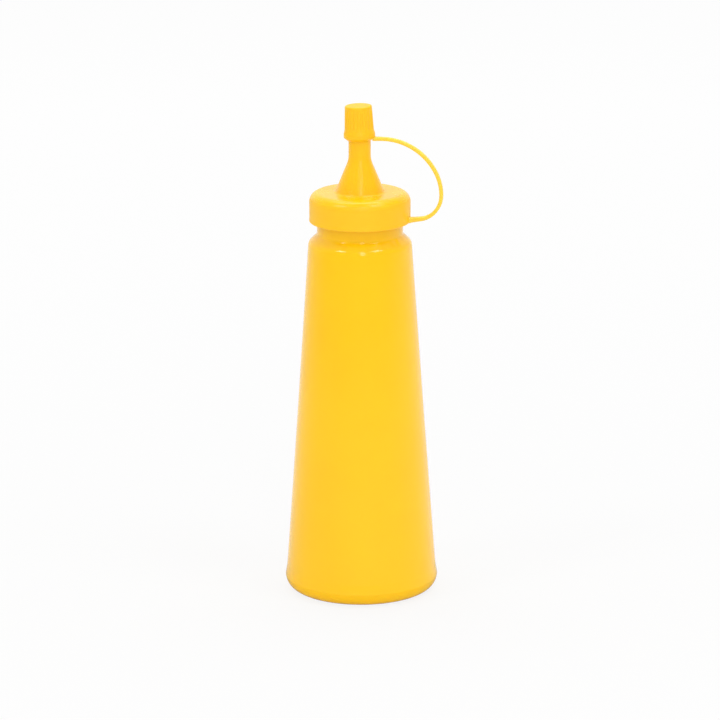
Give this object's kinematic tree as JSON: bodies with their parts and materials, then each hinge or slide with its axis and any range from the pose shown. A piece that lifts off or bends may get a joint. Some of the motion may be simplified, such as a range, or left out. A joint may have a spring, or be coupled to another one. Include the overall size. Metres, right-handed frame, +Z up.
{
  "type": "mustard dispenser",
  "caption": "Tapered yellow squeeze bottle for mustard with a screw lid, cone nozzle and a tethered tip cap.",
  "frame": {"origin": "centre of the flat standing face", "axes": "+Z up along the bottle and nozzle, +X towards the tether, +Y completes the right-handed frame"},
  "size_m": [0.066, 0.0632, 0.2045],
  "materials": {
    "bottle_plastic": "smooth, soft gloss, coloured through",
    "lid_plastic": "smooth, soft gloss, coloured through",
    "cap_plastic": "soft gloss with fine upright grip grooves",
    "tether_plastic": "soft gloss, slightly see-through at its edges"
  },
  "bodies": {
    "root": {"bottle": "bottle_plastic", "lid": "lid_plastic", "tip_cap": "cap_plastic", "tether": "tether_plastic"}
  },
  "joints": []
}
